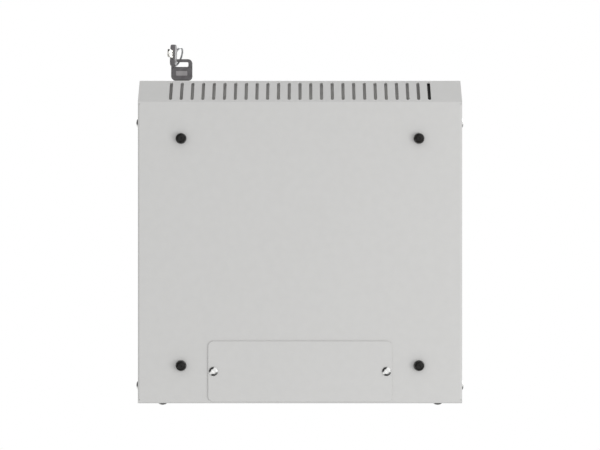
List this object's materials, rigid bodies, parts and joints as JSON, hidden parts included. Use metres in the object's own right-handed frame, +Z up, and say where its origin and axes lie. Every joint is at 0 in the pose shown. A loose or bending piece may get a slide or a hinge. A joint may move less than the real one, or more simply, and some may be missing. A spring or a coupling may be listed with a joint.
{
  "type": "wall mount network cabinet",
  "caption": "Small light grey steel wall cabinet for ten-inch network gear, with a glass door, cam lock and keys, slotted slanted bands, cable entry covers and rubber feet.",
  "frame": {"origin": "centre of the four wall holes, on the rear panel's outer face", "axes": "+X to the right of someone facing the door, +Y into the wall, +Z up"},
  "size_m": [0.3066, 0.3483, 0.3401],
  "materials": {
    "grey_powder_coat": "fine textured powder coat",
    "zinc_plated_steel": "zinc plated",
    "bright_plated_steel": "polished plating",
    "black_rubber": "smooth",
    "black_plastic": "moulded",
    "key_plastic": "moulded, fine grain",
    "tempered_glass": "polished, lightly smoked",
    "nickel_plated_brass": "satin nickel plating",
    "white_nylon": "moulded"
  },
  "bodies": {
    "cabinet": {"bottom_panel": "grey_powder_coat", "top_panel": "grey_powder_coat", "left_side_panel": "grey_powder_coat", "right_side_panel": "grey_powder_coat", "rear_panel": "grey_powder_coat", "bottom_entry_cover": "grey_powder_coat", "top_entry_cover": "grey_powder_coat", "left_rail": "zinc_plated_steel", "right_rail": "zinc_plated_steel", "upper_left_channel": "grey_powder_coat", "upper_right_channel": "grey_powder_coat", "lower_left_channel": "grey_powder_coat", "lower_right_channel": "grey_powder_coat", "side_screws": "bright_plated_steel", "rear_screws": "bright_plated_steel", "weld_nuts": "zinc_plated_steel", "cover_weld_nuts": "zinc_plated_steel", "bottom_cover_screws": "bright_plated_steel", "top_cover_screws": "bright_plated_steel", "rail_screws": "bright_plated_steel", "rail_nuts": "zinc_plated_steel", "earth_stud": "zinc_plated_steel", "earth_nuts": "zinc_plated_steel", "earth_washer": "zinc_plated_steel", "rubber_foot_front_left": "black_rubber", "rubber_foot_front_right": "black_rubber", "rubber_foot_rear_left": "black_rubber", "rubber_foot_rear_right": "black_rubber", "door_bumpers": "black_rubber", "lower_hinge_block": "black_plastic", "upper_hinge_block": "black_plastic", "hinge_block_screws": "zinc_plated_steel", "lower_hinge_pin": "zinc_plated_steel", "hinge_washer": "white_nylon"},
    "door": {"door_frame": "grey_powder_coat", "door_glass": "tempered_glass", "glass_gasket": "black_rubber", "glass_clip_nuts": "zinc_plated_steel", "pin_guide": "zinc_plated_steel", "hinge_spring": "zinc_plated_steel", "lock_barrel": "nickel_plated_brass", "lock_nut": "nickel_plated_brass", "glass_clip_upper_left": "zinc_plated_steel", "glass_clip_upper_right": "zinc_plated_steel", "glass_clip_lower_left": "zinc_plated_steel", "glass_clip_lower_right": "zinc_plated_steel", "glass_clip_top": "zinc_plated_steel", "glass_clip_bottom": "zinc_plated_steel"},
    "release_pin": {"hinge_release_pin": "zinc_plated_steel"},
    "lock": {"lock_plug": "nickel_plated_brass", "lock_cam": "zinc_plated_steel", "cam_screw": "zinc_plated_steel"},
    "key": {"key_blade": "nickel_plated_brass", "key_head": "key_plastic"},
    "key_ring": {"key_ring": "zinc_plated_steel"},
    "spare_key": {"spare_key_blade": "nickel_plated_brass", "spare_key_head": "key_plastic"}
  },
  "joints": [
    {"name": "door_hinge", "type": "hinge", "parent": "cabinet", "child": "door", "pos_m": [0.144, -0.2907, 0], "axis": [0, 0, 1], "range_deg": [0, 120]},
    {"name": "pin_release", "type": "slide", "parent": "door", "child": "release_pin", "axis": [0, 0, -1], "range_m": [0, 0.008], "stiffness_N_per_m": 400, "springref_m": -0.003, "deforming": ["hinge_spring"]},
    {"name": "lock_turn", "type": "hinge", "parent": "door", "child": "lock", "pos_m": [-0.1194, -0.2887, 0], "axis": [0, 1, 0], "range_deg": [0, 90]},
    {"name": "key_slide", "type": "slide", "parent": "lock", "child": "key", "axis": [0, -1, 0], "range_m": [0, 0.018]},
    {"name": "ring_swing", "type": "hinge", "parent": "key", "child": "key_ring", "pos_m": [-0.1226, -0.3297, 0.001], "axis": [-0.3746, 0.9272, 0], "range_deg": [-30, 5]},
    {"name": "spare_key_swing", "type": "hinge", "parent": "key_ring", "child": "spare_key", "pos_m": [-0.12474, -0.33288, -0.01052], "axis": [-0.0349, 0.9994, 0], "range_deg": [-3, 18]}
  ]
}
